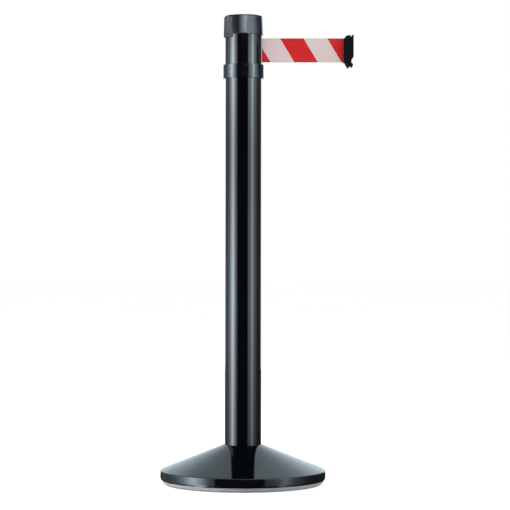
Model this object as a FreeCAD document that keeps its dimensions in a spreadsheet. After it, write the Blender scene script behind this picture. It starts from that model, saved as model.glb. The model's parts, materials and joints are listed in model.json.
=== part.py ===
import FreeCAD, Part

import math
import os

import Sketcher

# Retractable belt stanchion, in millimetres. +Z is up, +X is the way the belt pulls out.
# The origin is the centre of the base's underside, on the floor.

DOC = FreeCAD.newDocument("BeltStanchion")

SIZES = {
    # rubber floor ring
    "ring_foot": 162.5,
    "ring_bulge": 167.5,
    "ring_bulge_high": 4.5,
    "ring_lip": 169.5,
    "ring_inner": 146.0,
    "ring_high": 9.5,
    "tongue_outer": 158.5,
    "tongue_inner": 151.5,
    "tongue_high": 12.5,
    # base cover: upright rim, straight cone, neck around the tube
    "rim_radius": 173.3,
    "rim_foot_radius": 171.5,
    "rim_taper_high": 14.0,
    "rim_high": 28.5,
    "rim_round": 1.4,
    "neck_radius": 38.3,
    "neck_high": 83.0,
    "cover_wall": 1.5,
    "cone_drop": 1.6,
    # base weight
    "weight_radius": 169.7,
    "plate_high": 19.0,
    "boss_foot": 58.0,
    "boss_radius": 42.0,
    "seat_high": 62.0,
    "pocket_radius": 15.0,
    "pocket_high": 20.0,
    # base bolt, M12
    "bolt_radius": 6.0,
    "bolt_clear": 6.6,
    "washer_radius": 12.0,
    "washer_thick": 2.5,
    "bolt_head_high": 7.5,
    "bolt_head_corner": 10.97,
    "bolt_top": 80.0,
    "plug_high": 20.0,
    # post tube
    "tube_radius": 38.0,
    "tube_wall": 1.5,
    "tube_top": 856.0,
    # head sleeve
    "sleeve_radius": 38.6,
    "sleeve_bore": 36.6,
    "sleeve_top": 950.0,
    "spigot_low": 826.0,
    "spigot_wall": 1.0,
    "ledge_high": 860.0,
    "slot_half": 3.0,
    "slot_low": 883.8,
    "slot_high": 938.6,
    # collar ring
    "collar_radius": 42.75,
    "collar_low": 851.0,
    "collar_high": 880.0,
    "groove_outer": 41.4,
    "groove_inner": 39.6,
    "groove_low": 873.0,
    "collar_edge": 0.6,
    "grub_radius": 2.0,
    "grub_high": 865.0,
    "grub_turn": 55.0,
    "grub_sink": 0.9,
    # top cap
    "cap_top": 983.0,
    "cap_top_radius": 39.2,
    "cap_foot_radius": 40.6,
    "cap_foot": 942.0,
    "cap_round": 3.0,
    "cap_bore": 36.4,
    "cap_skirt_bore": 38.7,
    "cap_roof": 3.5,
    "cap_gap": 1.5,
    # the two receivers on the cap, and the two plain pads on the belt's side
    "pad_reach": 39.9,
    "pad_half": 16.0,
    "pad_foot": 936.6,
    "pad_top": 977.0,
    "pad_wall": 1.5,
    "pad_pocket_half": 14.4,
    "pad_pocket_high": 953.0,
    "pad_turn": 122.0,
    "plain_radius": 41.3,
    "plain_half": 15.0,
    "plain_top": 971.0,
    "plain_turn": 302.0,
    "pad_screw_back": 7.0,
    "pad_screw_radius": 1.5,
    "pad_screw_high": 957.0,
    "pad_screw_sink": 0.8,
    "pad_screw_end": 31.0,
    # cassette frame
    "deck_radius": 36.4,
    "deck_thick": 2.5,
    "roof_radius": 36.0,
    "roof_low": 955.0,
    "roof_thick": 4.0,
    "pillar_radius": 1.7,
    "pillar_circle": 34.0,
    "pillar_screw_radius": 1.3,
    "pillar_screw_head": 1.6,
    # spring case
    "case_radius": 31.6,
    "case_wall": 1.5,
    "case_top": 880.8,
    "lid_thick": 1.5,
    "lid_bore": 8.0,
    "spring_outer": 29.6,
    "spring_inner": 8.6,
    "spring_thick": 0.6,
    "spring_width": 14.0,
    "spring_lift": 2.5,
    # spool
    "shaft_radius": 4.0,
    "shaft_low": 850.0,
    "shaft_top": 969.0,
    "nut_corner": 7.5,
    "nut_high": 6.5,
    "core_bore": 4.7,
    "core_radius": 10.0,
    "core_top": 939.3,
    "core_nose_top": 942.3,
    "core_nose_radius": 8.0,
    "arbor_radius": 7.0,
    "arbor_low": 866.5,
    "bush_bore": 4.03,
    "bush_radius": 5.6,
    "bush_long": 10.0,
    "flange_radius": 31.5,
    "flange_thick": 1.5,
    "flange_low": 883.5,
    "flange_high": 937.4,
    "anchor_radius": 1.3,
    "anchor_circle": 7.6,
    # belt
    "belt_low": 886.0,
    "belt_width": 50.4,
    "belt_thick": 0.8,
    "roll_radius": 28.7,
    "roll_gap": 0.3,
    # belt guide behind the slot
    "guide_near": 31.9,
    "guide_far": 35.2,
    "guide_half": 8.0,
    "guide_slot_half": 2.4,
    "guide_low": 882.9,
    "guide_high": 939.7,
    "guide_pin_radius": 1.2,
    "guide_pin_reach": 33.5,
    "guide_pin_side": 1.9,
    # centrifugal brake
    "carrier_radius": 25.0,
    "carrier_thick": 2.5,
    "drum_inner": 25.6,
    "drum_outer": 29.0,
    "drum_low": 942.5,
    "shoe_inner": 16.0,
    "shoe_outer": 23.5,
    "shoe_low": 942.5,
    "shoe_high": 948.9,
    "shoe_span": 125.0,
    "shoe_back": 10.0,
    "shoe_pivot": 20.0,
    "shoe_pin_radius": 1.5,
    "shoe_pin_bore": 1.55,
    "shoe_pin_top": 949.9,
    # belt clip
    "clip_left": 209.6,
    "clip_cover_thick": 3.0,
    "clip_half": 17.0,
    "clip_cup_radius": 38.9,
    "clip_cup_depth": 17.4,
    "cavity_half": 4.5,
    "cavity_deep": 12.6,
    "cavity_low": 884.9,
    "cavity_high": 937.5,
    "clip_slit_half": 0.9,
    "clip_face_low": 885.7,
    "clip_face_high": 935.2,
    "end_pin_radius": 1.5,
    "end_pin_reach": 217.6,
    "end_loop_radius": 2.4,
    "clip_screw_radius": 1.25,
    "clip_screw_side": 11.5,
    "clip_screw_inset": 8.0,
    "clip_screw_long": 9.0,
    "clip_screw_sink": 0.4,
}

# side outline of the clip body: distance out from the clip's left face, and height
CLIP_OUTLINE = [
    (3.0, 884.4),
    (3.0, 937.1),
    (4.8, 940.0),
    (12.2, 942.2),
    (14.2, 941.4),
    (16.4, 937.4),
    (19.6, 942.8),
    (21.5, 942.2),
    (21.5, 896.5),
    (18.4, 893.6),
    (16.8, 890.4),
    (16.6, 883.6),
    (19.8, 881.6),
    (19.8, 877.6),
    (18.0, 875.4),
    (15.4, 878.4),
    (12.4, 877.4),
    (10.6, 874.4),
    (8.4, 874.6),
]

SHEET = DOC.addObject("Spreadsheet::Sheet", "Sizes")
for row, (alias, number) in enumerate(SIZES.items(), start=1):
    SHEET.set(f"A{row}", alias)
    SHEET.set(f"B{row}", str(number))
    SHEET.setAlias(f"B{row}", alias)
DOC.recompute()

SUBPARTS = []
UP = FreeCAD.Vector(0, 0, 1)


def size(alias):
    """A cell's value, for the shapes that plain Part functions make."""
    return float(SHEET.get(alias))


def linked(expression):
    """The expression with each size's alias pointing at the sheet."""
    words = expression.replace("(", " ( ").replace(")", " ) ").split()
    return " ".join(f"Sizes.{word}" if word in SIZES else word for word in words)


def bind(item, **expressions):
    for name, expression in expressions.items():
        item.setExpression(name, linked(expression))
    return item


def put(item, x="0", y="0", z="0", turn=None):
    """Places an object: its rotation is a constant, and its position follows the sheet."""
    if turn:
        item.Placement = FreeCAD.Placement(FreeCAD.Vector(), turn)
    item.setExpression("Placement.Base.x", linked(x))
    item.setExpression("Placement.Base.y", linked(y))
    item.setExpression("Placement.Base.z", linked(z))
    return item


def cylinder(name, radius, high, z="0", x="0", y="0", turn=None):
    item = bind(DOC.addObject("Part::Cylinder", name), Radius=radius, Height=high)
    return put(item, x, y, z, turn)


def prism(name, corner, high, z):
    """A hexagon, for bolt heads and nuts."""
    item = bind(DOC.addObject("Part::Prism", name), Circumradius=corner, Height=high)
    item.Polygon = 6
    return put(item, z=z)


def box(name, x, y, z, long, wide, high, turn=None):
    item = bind(DOC.addObject("Part::Box", name), Length=long, Width=wide, Height=high)
    return put(item, x, y, z, turn)


def cut(name, base, tool):
    item = DOC.addObject("Part::Cut", name)
    item.Base = base
    item.Tool = tool
    return item


def fuse(name, items):
    item = DOC.addObject("Part::MultiFuse", name)
    item.Shapes = items
    return item


def group(name, items):
    """Identical separate solids in one node."""
    item = DOC.addObject("Part::Compound", name)
    item.Links = items
    return item


def subpart(item, label):
    item.Label = label
    SUBPARTS.append(item)
    return item


def ring(name, outer, inner, high, z):
    """A flat ring: a disc with a bore."""
    disc = cylinder(f"{name}_disc", outer, high, z)
    bore = cylinder(f"{name}_bore", inner, high, z)
    return cut(name, disc, bore)


def origin_plane(body, role):
    return next(item for item in body.Origin.OriginFeatures if item.Role == role)


def outline_sketch(body, name, corners):
    """A closed outline on the body's XZ plane, each corner held by its distances from the origin."""
    sketch = body.newObject("Sketcher::SketchObject", name)
    sketch.AttachmentSupport = [(origin_plane(body, "XZ_Plane"), "")]
    sketch.MapMode = "FlatFace"
    count = len(corners)
    turns = [2 * math.pi * i / count for i in range(count)]
    spots = [FreeCAD.Vector(50 + 40 * math.cos(turn), 40 * math.sin(turn), 0) for turn in turns]
    for i in range(count):
        sketch.addGeometry(Part.LineSegment(spots[i], spots[(i + 1) % count]), False)
    for i in range(count):
        sketch.addConstraint(Sketcher.Constraint("Coincident", i, 2, (i + 1) % count, 1))
    for i, (across, height) in enumerate(corners):
        for kind, expression, spot in (("DistanceX", across, spots[i].x), ("DistanceY", height, spots[i].y)):
            index = sketch.addConstraint(Sketcher.Constraint(kind, -1, 1, i, 1, spot))
            sketch.setExpression(f"Constraints[{index}]", linked(expression))
    return sketch


def turned_body(name, corners):
    """A body of revolution about Z from its half outline in radius and height."""
    body = DOC.addObject("PartDesign::Body", name)
    sketch = outline_sketch(body, f"{name}_outline", corners)
    turned = body.newObject("PartDesign::Revolution", f"{name}_turned")
    turned.Profile = sketch
    turned.ReferenceAxis = (sketch, ["V_Axis"])
    turned.Angle = 360
    DOC.recompute()
    return body


def circles_at(feature, radius, height):
    """The names of a feature's round edges of one radius at one height."""
    found = []
    for i, edge in enumerate(feature.Shape.Edges, start=1):
        curve = edge.Curve
        if not isinstance(curve, Part.Circle):
            continue
        if abs(curve.Radius - radius) < 0.01 and abs(curve.Center.z - height) < 0.01:
            found.append(f"Edge{i}")
    return found


def soften(body, kind, amount, spots):
    """Rounds or chamfers a turned body's round edges; spots are radius and height pairs."""
    base = body.Tip
    edges = []
    for radius, height in spots:
        edges += circles_at(base, radius, height)
    feature = body.newObject(f"PartDesign::{kind}", f"{body.Name}_{kind.lower()}")
    feature.Base = (base, edges)
    feature.setExpression("Radius" if kind == "Fillet" else "Size", linked(amount))
    body.Tip = feature
    DOC.recompute()
    return feature


def radial_cylinders(name, radius, start, end, height, angles):
    """Cylinders that lie along a radius of the post, one at each angle."""
    rods = []
    for i, angle in enumerate(angles, start=1):
        turn = FreeCAD.Rotation(UP, FreeCAD.Vector(math.cos(angle), math.sin(angle), 0))
        x = f"( {start} ) * {math.cos(angle):.9f}"
        y = f"( {start} ) * {math.sin(angle):.9f}"
        rods.append(cylinder(f"{name}_{i}", radius, f"{end} - ( {start} )", height, x, y, turn))
    return rods


def around(count, first):
    """Evenly spaced angles in radians; first is in degrees."""
    return [math.radians(first + 360 * i / count) for i in range(count)]


def upright_pins(name, radius, circle, z, high, angles):
    pins = []
    for i, angle in enumerate(angles, start=1):
        x = f"{circle} * {math.cos(angle):.9f}"
        y = f"{circle} * {math.sin(angle):.9f}"
        pins.append(cylinder(f"{name}_{i}", radius, high, z, x, y))
    return pins


def floor_ring():
    corners = [
        ("ring_inner", "0"),
        ("ring_foot", "0"),
        ("ring_bulge", "ring_bulge_high"),
        ("ring_lip", "ring_high"),
        ("tongue_outer", "ring_high"),
        ("tongue_outer", "tongue_high"),
        ("tongue_inner", "tongue_high"),
        ("tongue_inner", "ring_high"),
        ("ring_inner", "ring_high"),
    ]
    return turned_body("FloorRing", corners)


def base_weight():
    corners = [
        ("pocket_radius", "ring_high"),
        ("tongue_inner", "ring_high"),
        ("tongue_inner", "tongue_high"),
        ("tongue_outer", "tongue_high"),
        ("tongue_outer", "ring_high"),
        ("weight_radius", "ring_high"),
        ("weight_radius", "plate_high"),
        ("boss_foot", "plate_high"),
        ("boss_radius", "seat_high"),
        ("bolt_clear", "seat_high"),
        ("bolt_clear", "pocket_high"),
        ("pocket_radius", "pocket_high"),
    ]
    return turned_body("BaseWeight", corners)


def base_cover():
    slope = "( neck_high - rim_high ) / ( rim_radius - neck_radius - cover_wall )"
    corners = [
        ("rim_foot_radius", "ring_high"),
        ("rim_radius", "rim_taper_high"),
        ("rim_radius", "rim_high"),
        ("neck_radius + cover_wall", "neck_high"),
        ("neck_radius", "neck_high"),
        ("neck_radius", "seat_high"),
        ("neck_radius + cover_wall", "seat_high"),
        ("neck_radius + cover_wall", "neck_high - cone_drop"),
        ("rim_radius - cover_wall", f"rim_high - cone_drop + cover_wall * {slope}"),
        ("rim_radius - cover_wall", "rim_taper_high"),
        ("rim_foot_radius - cover_wall", "ring_high"),
    ]
    body = turned_body("BaseCover", corners)
    soften(body, "Fillet", "rim_round", [(size("rim_radius"), size("rim_high"))])
    return body


def base_bolt():
    head_low = "pocket_high - washer_thick - bolt_head_high"
    head = prism("BoltHead", "bolt_head_corner", "bolt_head_high", head_low)
    shank = cylinder("BoltShank", "bolt_radius", f"bolt_top - ( {head_low} )", head_low)
    return fuse("BaseBolt", [head, shank])


def foot_plug():
    return ring("FootPlug", "tube_radius - tube_wall", "bolt_radius", "plug_high", "seat_high")


def post_tube():
    return ring("PostTube", "tube_radius", "tube_radius - tube_wall", "tube_top - seat_high", "seat_high")


def head_sleeve():
    spigot = "tube_radius - tube_wall"
    corners = [
        ("sleeve_radius", "tube_top"),
        ("sleeve_radius", "sleeve_top"),
        ("sleeve_bore", "sleeve_top"),
        ("sleeve_bore", "ledge_high"),
        (f"{spigot} - spigot_wall", "ledge_high"),
        (f"{spigot} - spigot_wall", "spigot_low"),
        (spigot, "spigot_low"),
        (spigot, "tube_top"),
    ]
    body = turned_body("HeadSleeve", corners)
    slot = box(
        "BeltSlot",
        "guide_near",
        "0 - slot_half",
        "slot_low",
        "sleeve_radius",
        "2 * slot_half",
        "slot_high - slot_low",
    )
    return cut("SlottedSleeve", body, slot)


def collar_ring(grub_holes):
    corners = [
        ("tube_radius", "collar_low"),
        ("collar_radius", "collar_low"),
        ("collar_radius", "collar_high"),
        ("groove_outer", "collar_high"),
        ("groove_outer", "groove_low"),
        ("groove_inner", "groove_low"),
        ("groove_inner", "collar_high"),
        ("sleeve_radius", "collar_high"),
        ("sleeve_radius", "tube_top"),
        ("tube_radius", "tube_top"),
    ]
    body = turned_body("CollarRing", corners)
    rim = [(size("collar_radius"), size(height)) for height in ("collar_low", "collar_high")]
    soften(body, "Chamfer", "collar_edge", rim)
    return cut("DrilledCollar", body, grub_holes)


def pad_block(name, angle, start, reach, half, low, high):
    """A block square to one radius of the cap, from one distance off the post's axis to another."""
    turn = FreeCAD.Rotation(UP, math.degrees(angle))
    across, along = f"{math.sin(angle):.9f}", f"{math.cos(angle):.9f}"
    x = f"( {start} ) * {along} + ( {half} ) * {across}"
    y = f"( {start} ) * {across} - ( {half} ) * {along}"
    return box(name, x, y, low, f"{reach} - ( {start} )", f"2 * ( {half} )", f"{high} - {low}", turn)


def receiver_pads(angles):
    """The receivers: their blocks, the pockets behind their faces, and the room before them."""
    blocks, pockets, fronts = [], [], []
    behind = "pad_reach - pad_wall"
    before = "pad_reach + pad_half"
    roof = "pad_pocket_high"
    for i, angle in enumerate(angles, start=1):
        block = pad_block(f"Pad_{i}", angle, "0", "pad_reach", "pad_half", "pad_foot", "pad_top")
        blocks.append(block)
        pocket = pad_block(f"Pad_pocket_{i}", angle, "0", behind, "pad_pocket_half", "pad_foot", roof)
        pockets.append(pocket)
        front = pad_block(f"Pad_front_{i}", angle, "pad_reach", before, "pad_half", "pad_foot", "pad_top")
        fronts.append(front)
    return fuse("Pads", blocks), fuse("Pad_pockets", pockets), fuse("Pad_fronts", fronts)


def plain_pads(angles):
    """Round-faced pads, just proud of the shell and level with its foot."""
    drum = cylinder("Plain_drum", "plain_radius", "plain_top - cap_foot", "cap_foot")
    reach = "2 * plain_radius"
    blocks = []
    for i, angle in enumerate(angles, start=1):
        block = pad_block(f"Plain_{i}", angle, "0", reach, "plain_half", "cap_foot", "plain_top")
        blocks.append(block)
    common = DOC.addObject("Part::MultiCommon", "Plain_pads")
    common.Shapes = [drum, fuse("Plain_blocks", blocks)]
    return common


def top_cap(receiver_angles, plain_angles, screw_holes):
    corners = [
        ("0", "cap_top - cap_roof"),
        ("cap_bore", "cap_top - cap_roof"),
        ("cap_bore", "sleeve_top"),
        ("cap_skirt_bore", "sleeve_top"),
        ("cap_skirt_bore", "cap_foot"),
        ("cap_foot_radius", "cap_foot"),
        ("cap_top_radius", "cap_top"),
        ("0", "cap_top"),
    ]
    shell = turned_body("CapShell", corners)
    soften(shell, "Fillet", "cap_round", [(size("cap_top_radius"), size("cap_top"))])
    blocks, pockets, fronts = receiver_pads(receiver_angles)
    hollow = cylinder("Cap_hollow", "cap_bore", "cap_top - cap_roof - pad_foot", "pad_foot")
    mouth = cylinder("Cap_mouth", "cap_skirt_bore", "sleeve_top - pad_foot", "pad_foot")
    pads = fuse("Cap_pads", [blocks, plain_pads(plain_angles)])
    bored = cut("Pads_bored", pads, fuse("Cap_inside", [hollow, mouth]))
    solid = fuse("Cap_solid", [shell, bored])
    room = cylinder("Sleeve_room", "sleeve_radius + cap_gap", "pad_pocket_high - sleeve_top", "sleeve_top")
    pocket = cut("Pockets_clear", pockets, room)
    faced = cut("Cap_faced", cut("Cap_pocketed", solid, pocket), fronts)
    return cut("TopCap", faced, screw_holes)


def cassette_deck():
    return ring("CassetteDeck", "deck_radius", "shaft_radius", "deck_thick", "ledge_high")


def cassette_roof(screw_holes):
    plate = ring("RoofPlate", "roof_radius", "shaft_radius", "roof_thick", "roof_low")
    return cut("CassetteRoof", plate, screw_holes)


def pillar_set(angles):
    low = "ledge_high + deck_thick"
    rods = upright_pins("Pillar", "pillar_radius", "pillar_circle", low, f"roof_low - ( {low} )", angles)
    return group("Pillars", rods)


def pillar_screw_set(angles):
    """The screw heads under the deck and on the roof, in line with the pillars."""
    heads = []
    long = "pillar_screw_head"
    for name, low in (("Low_screw", f"ledge_high - {long}"), ("Top_screw", "roof_low + roof_thick")):
        heads += upright_pins(name, "pillar_screw_radius", "pillar_circle", low, long, angles)
    return group("PillarScrews", heads)


def spring_case():
    low = "ledge_high + deck_thick"
    cup = cylinder("Case_cup", "case_radius", f"case_top - ( {low} )", low)
    room = cylinder("Case_room", "case_radius - case_wall", "case_top", f"{low} + case_wall")
    bore = cylinder("Case_bore", "shaft_radius", "case_wall", low)
    return cut("SpringCase", cup, fuse("Case_inside", [room, bore]))


def mainspring():
    """A flat spiral strip, wound evenly from the arbor out to the case's wall."""
    inner = size("spring_inner")
    thick = size("spring_thick")
    turns = 11
    pitch = (size("spring_outer") - inner - thick) / turns
    steps = 12 * turns

    def edge(offset):
        points = []
        for i in range(steps + 1):
            turn = turns * i / steps
            radius = inner + pitch * turn + offset
            angle = 2 * math.pi * turn
            points.append(FreeCAD.Vector(radius * math.cos(angle), radius * math.sin(angle), 0))
        curve = Part.BSplineCurve()
        curve.interpolate(points)
        return curve.toShape(), points[0], points[-1]

    near, near_start, near_end = edge(0)
    far, far_start, far_end = edge(thick)
    outline = Part.Wire([near, Part.makeLine(near_end, far_end), far, Part.makeLine(far_start, near_start)])
    strip = Part.Face(outline).extrude(UP * size("spring_width"))
    low = size("ledge_high") + size("deck_thick") + size("case_wall") + size("spring_lift")
    spring = DOC.addObject("Part::Feature", "Mainspring")
    spring.Shape = strip
    spring.Placement = FreeCAD.Placement(UP * low, FreeCAD.Rotation())
    return spring


def shaft_nuts():
    low = prism("Low_nut", "nut_corner", "nut_high", "ledge_high - nut_high")
    top = prism("Top_nut", "nut_corner", "nut_high", "roof_low + roof_thick")
    bore = cylinder("Nut_bore", "shaft_radius", "shaft_top - shaft_low", "shaft_low")
    return group("ShaftNuts", [cut("Low_nut_bored", low, bore), cut("Top_nut_bored", top, bore)])


def spool_core():
    corners = [
        ("bush_radius", "arbor_low"),
        ("arbor_radius", "arbor_low"),
        ("arbor_radius", "flange_low"),
        ("core_radius", "flange_low"),
        ("core_radius", "core_top"),
        ("core_nose_radius", "core_top"),
        ("core_nose_radius", "core_nose_top"),
        ("bush_radius", "core_nose_top"),
        ("bush_radius", "core_nose_top - bush_long"),
        ("core_bore", "core_nose_top - bush_long"),
        ("core_bore", "arbor_low + bush_long"),
        ("bush_radius", "arbor_low + bush_long"),
    ]
    body = turned_body("SpoolCore", corners)
    hole = cylinder("Anchor_hole", "anchor_radius", "belt_width", "belt_low", x="0 - anchor_circle")
    return cut("DrilledCore", body, hole)


def strip_outline(points, half):
    """The strip from above: its long edges are straight runs joined by one arc about the guide pin."""
    start, bend_start, bend_middle, bend_end, end, centre = points
    run = (bend_start - start).normalize()
    side = FreeCAD.Vector(-run.y, run.x, 0) * half

    def bend(offset):
        ends = []
        for point in (bend_start, bend_middle, bend_end):
            out = (point - centre).normalize()
            ends.append(point + out * offset)
        return ends

    top = bend(half)
    low = bend(-half)
    rise = FreeCAD.Vector(0, half, 0)
    edges = [
        Part.makeLine(start + side, top[0]),
        Part.Arc(*top).toShape(),
        Part.makeLine(top[2], end + rise),
        Part.makeLine(end + rise, end - rise),
        Part.makeLine(end - rise, low[2]),
        Part.Arc(low[2], low[1], low[0]).toShape(),
        Part.makeLine(low[0], start - side),
        Part.makeLine(start - side, start + side),
    ]
    return Part.Face(Part.Wire(edges))


def belt_web():
    """The belt from the wound roll, around the guide pin, out to its loop on the clip's pin."""
    half = size("belt_thick") / 2
    leave = size("roll_radius") + size("roll_gap") + half
    bend = size("guide_pin_side")
    centre = FreeCAD.Vector(size("guide_pin_reach"), -bend, 0)
    reach = centre.Length
    heading = math.asin((leave + bend) / reach) + math.atan2(centre.y, centre.x)
    normal = FreeCAD.Vector(math.sin(heading), -math.cos(heading), 0)
    middle = (math.pi / 2 + heading + math.pi / 2) / 2
    points = [
        normal * leave,
        centre - normal * bend,
        centre + FreeCAD.Vector(math.cos(middle), math.sin(middle), 0) * bend,
        centre + FreeCAD.Vector(0, bend, 0),
        FreeCAD.Vector(size("end_pin_reach") - size("end_pin_radius") - half, 0, 0),
        centre,
    ]
    rise = UP * size("belt_width")
    strip = strip_outline(points, half).extrude(rise)
    pin_spot = FreeCAD.Vector(size("end_pin_reach"), 0, 0)
    loop = Part.makeCylinder(size("end_loop_radius"), size("belt_width"), pin_spot)
    pin = Part.makeCylinder(size("end_pin_radius"), size("belt_width"), pin_spot)
    belt = DOC.addObject("Part::Feature", "BeltWeb")
    belt.Shape = strip.fuse(loop).cut(pin)
    belt.Placement = FreeCAD.Placement(UP * size("belt_low"), FreeCAD.Rotation())
    return belt


def guide_pins():
    z = "guide_low"
    high = "guide_high - guide_low"
    pins = [
        cylinder("Guide_pin_1", "guide_pin_radius", high, z, "guide_pin_reach", "guide_pin_side"),
        cylinder("Guide_pin_2", "guide_pin_radius", high, z, "guide_pin_reach", "0 - guide_pin_side"),
    ]
    return group("GuidePins", pins)


def belt_guide(pins):
    high = "guide_high - guide_low"
    long = "guide_far - guide_near"
    wide = "2 * guide_half"
    block = box("Guide_block", "guide_near", "0 - guide_half", "guide_low", long, wide, high)
    slot = "slot_high - slot_low"
    gap_wide = "2 * guide_slot_half"
    gap = box("Guide_gap", "guide_near", "0 - guide_slot_half", "slot_low", long, gap_wide, slot)
    return cut("Guide_holed", cut("Guide_slotted", block, gap), pins)


def brake_shoe(name, turn_degrees):
    """A curved shoe that swings out on a pin at one end; it lies clear of the drum at rest."""
    outer = cylinder(f"{name}_outer", "shoe_outer", "shoe_high - shoe_low", "shoe_low")
    inner = cylinder(f"{name}_inner", "shoe_inner", "shoe_high - shoe_low", "shoe_low")
    bind(outer, Angle="shoe_span")
    start = FreeCAD.Rotation(UP, turn_degrees - size("shoe_back"))
    outer.Placement = FreeCAD.Placement(FreeCAD.Vector(), start)
    outer.setExpression("Placement.Base.z", linked("shoe_low"))
    angle = math.radians(turn_degrees)
    hole = cylinder(
        f"{name}_hole",
        "shoe_pin_bore",
        "shoe_high - shoe_low",
        "shoe_low",
        f"shoe_pivot * {math.cos(angle):.9f}",
        f"shoe_pivot * {math.sin(angle):.9f}",
    )
    return cut(name, cut(f"{name}_arc", outer, inner), hole)


def clip_solid():
    """The clip body's side outline, as wide as the clip, hollowed to cup a neighbouring post."""
    body = DOC.addObject("PartDesign::Body", "ClipBlock")
    corners = [(f"clip_left + {out}", str(height)) for out, height in CLIP_OUTLINE]
    sketch = outline_sketch(body, "Clip_outline", corners)
    pad = body.newObject("PartDesign::Pad", "Clip_pad")
    pad.Profile = sketch
    pad.setExpression("Length", linked("2 * clip_half"))
    pad.SideType = "Symmetric"
    DOC.recompute()
    cup = cylinder(
        "Clip_cup",
        "clip_cup_radius",
        "cap_top - tube_top",
        "tube_top",
        "clip_left + clip_cup_depth + clip_cup_radius",
    )
    return cut("Clip_cupped", body, cup)


def clip_screw_set():
    """One screw near each corner of the cover, along X."""
    turn = FreeCAD.Rotation(UP, FreeCAD.Vector(1, 0, 0))
    heights = ("clip_face_low + clip_screw_inset", "clip_face_high - clip_screw_inset")
    x = "clip_left + clip_screw_sink"
    screws = []
    for side in (-1, 1):
        y = f"{side} * clip_screw_side"
        for height in heights:
            name = f"Clip_screw_{len(screws) + 1}"
            screws.append(cylinder(name, "clip_screw_radius", "clip_screw_long", height, x, y, turn))
    return group("ClipScrews", screws)


def clip_parts():
    screws = clip_screw_set()
    room = "cavity_high - cavity_low"
    pin = cylinder("BeltEndPin", "end_pin_radius", room, "cavity_low", "end_pin_reach")
    cavity = box(
        "Clip_cavity",
        "clip_left",
        "0 - cavity_half",
        "cavity_low",
        "cavity_deep",
        "2 * cavity_half",
        room,
    )
    holes = DOC.addObject("Part::Compound", "Clip_holes")
    holes.Links = screws.Links
    body = cut("ClipBody", cut("Clip_hollowed", clip_solid(), cavity), holes)
    plate = box(
        "Cover_plate",
        "clip_left",
        "0 - clip_half",
        "clip_face_low",
        "clip_cover_thick",
        "2 * clip_half",
        "clip_face_high - clip_face_low",
    )
    slit = box(
        "Cover_slit",
        "clip_left",
        "0 - clip_slit_half",
        "belt_low",
        "clip_cover_thick",
        "2 * clip_slit_half",
        "belt_width",
    )
    cover = cut("ClipCover", cut("Cover_slotted", plate, slit), holes)
    return body, cover, pin, screws


def base_parts():
    subpart(floor_ring(), "floor_ring")
    subpart(base_weight(), "base_weight")
    subpart(base_cover(), "base_cover")
    subpart(base_bolt(), "base_bolt")
    washer_low = "pocket_high - washer_thick"
    subpart(ring("BaseWasher", "washer_radius", "bolt_radius", "washer_thick", washer_low), "base_washer")
    subpart(foot_plug(), "foot_plug")
    subpart(post_tube(), "post_tube")


def collar_parts():
    """The collar and its two grub screws, whose ends are shaped to the sleeve."""
    angles = [math.radians(size("grub_turn")), math.radians(180 - size("grub_turn"))]
    face = "collar_radius - grub_sink"
    grubs = radial_cylinders("Grub", "grub_radius", "sleeve_radius", face, "grub_high", angles)
    outside = "2 * collar_radius"
    holes = radial_cylinders("Grub_hole", "grub_radius", "tube_radius", outside, "grub_high", angles)
    subpart(collar_ring(fuse("Grub_holes", holes)), "collar_ring")
    inside = cylinder("Grub_end", "sleeve_radius", "collar_high - collar_low", "collar_low")
    screws = [cut(f"Grub_cut_{i}", grub, inside) for i, grub in enumerate(grubs, start=1)]
    subpart(group("CollarScrews", screws), "collar_screws")


def cap_parts():
    """The cap and the screws that hold it to the cassette's roof; returns the screws' holes."""
    receivers = [math.radians(size("pad_turn") + turn) for turn in (0, 90)]
    plain = [math.radians(size("plain_turn") + turn) for turn in (0, 90)]
    angles = [angle - math.radians(size("pad_screw_back")) for angle in receivers]
    face = "pad_reach - pad_screw_sink"
    outside = "2 * pad_reach"
    radius, start, height = "pad_screw_radius", "pad_screw_end", "pad_screw_high"
    screws = radial_cylinders("Pad_screw", radius, start, face, height, angles)
    drills = radial_cylinders("Pad_hole", radius, start, outside, height, angles)
    holes = fuse("Pad_holes", drills)
    subpart(top_cap(receivers, plain, holes), "top_cap")
    subpart(group("CapScrews", screws), "cap_screws")
    return holes


def cassette_parts(roof_holes):
    angles = around(3, 60)
    subpart(cassette_deck(), "cassette_base_plate")
    subpart(cassette_roof(roof_holes), "cassette_top_plate")
    subpart(pillar_set(angles), "cassette_pillars")
    subpart(pillar_screw_set(angles), "pillar_screws")
    subpart(spring_case(), "spring_case")
    subpart(ring("CaseLid", "case_radius", "lid_bore", "lid_thick", "case_top"), "spring_case_lid")
    subpart(mainspring(), "mainspring")
    subpart(cylinder("SpoolShaft", "shaft_radius", "shaft_top - shaft_low", "shaft_low"), "spool_shaft")
    subpart(shaft_nuts(), "shaft_nuts")


def spool_parts():
    subpart(spool_core(), "spool_core")
    for name, low, label in (
        ("LowFlange", "flange_low", "spool_lower_flange"),
        ("HighFlange", "flange_high", "spool_upper_flange"),
    ):
        subpart(ring(name, "flange_radius", "core_radius", "flange_thick", low), label)
    bush_low = "core_nose_top - bush_long"
    subpart(ring("LowBush", "bush_radius", "bush_bore", "bush_long", "arbor_low"), "lower_bush")
    subpart(ring("HighBush", "bush_radius", "bush_bore", "bush_long", bush_low), "upper_bush")
    rod = cylinder("AnchorRod", "anchor_radius", "belt_width", "belt_low", x="0 - anchor_circle")
    subpart(rod, "belt_anchor_rod")
    subpart(ring("BeltRoll", "roll_radius", "core_radius", "belt_width", "belt_low"), "belt_roll")
    subpart(belt_web(), "belt_web")
    pins = guide_pins()
    subpart(belt_guide(pins), "belt_guide")
    subpart(pins, "guide_pins")


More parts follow.
